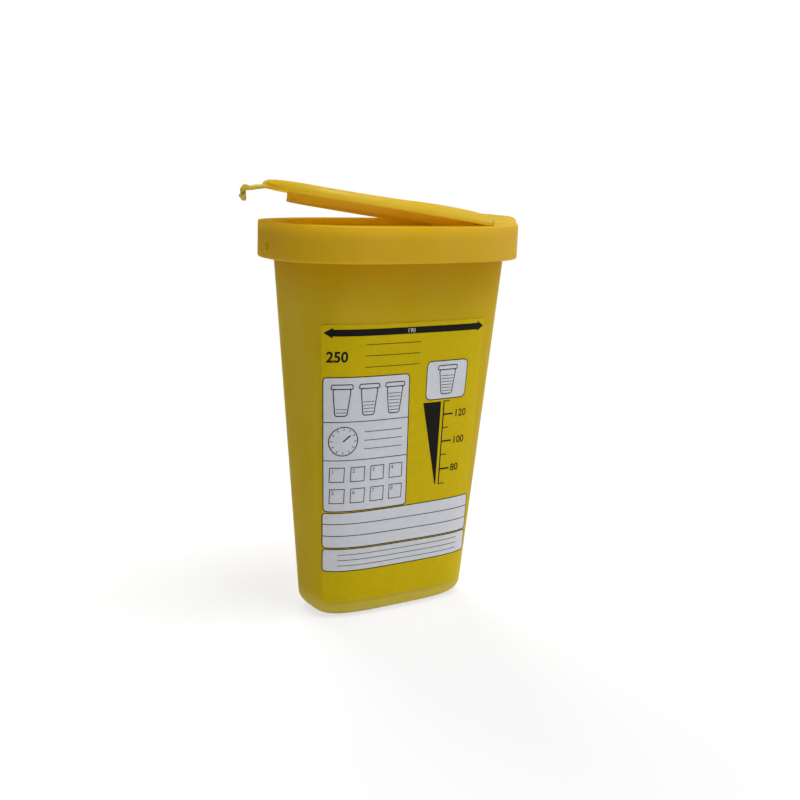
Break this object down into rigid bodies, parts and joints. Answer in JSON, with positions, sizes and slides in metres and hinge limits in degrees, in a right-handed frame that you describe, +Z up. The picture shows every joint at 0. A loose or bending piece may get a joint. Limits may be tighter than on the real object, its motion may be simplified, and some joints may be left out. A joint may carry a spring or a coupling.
{
  "type": "sharps container",
  "caption": "Tapered oval sharps container with a clip-on collar, a flap lid on a film hinge and a fold-down hook latch, for dropping used needles into.",
  "frame": {"origin": "centre of the base, on the surface that the container stands on", "axes": "+Z up, +X towards the hinge end of the lid, -Y out of the labelled front"},
  "size_m": [0.1049, 0.0518, 0.149],
  "materials": {
    "yellow_plastic": "satin moulded polypropylene",
    "label_film": "printed film, satin"
  },
  "bodies": {
    "container": {"container_body": "yellow_plastic", "lid_collar": "yellow_plastic", "flap_hinge_web": "yellow_plastic", "front_label": "label_film"},
    "flap": {"lid_flap": "yellow_plastic", "latch_hinge_web": "yellow_plastic"},
    "latch": {"latch_strap": "yellow_plastic", "latch_hook": "yellow_plastic"}
  },
  "joints": [
    {"name": "flap_hinge", "type": "hinge", "parent": "container", "child": "flap", "pos_m": [0.0268, 0, 0.1391], "axis": [0, 1, 0], "range_deg": [-7.7, 127.3]},
    {"name": "latch_hinge", "type": "hinge", "parent": "flap", "child": "latch", "pos_m": [-0.04804, 0, 0.147], "axis": [0, -1, 0], "range_deg": [-42, 78]}
  ]
}
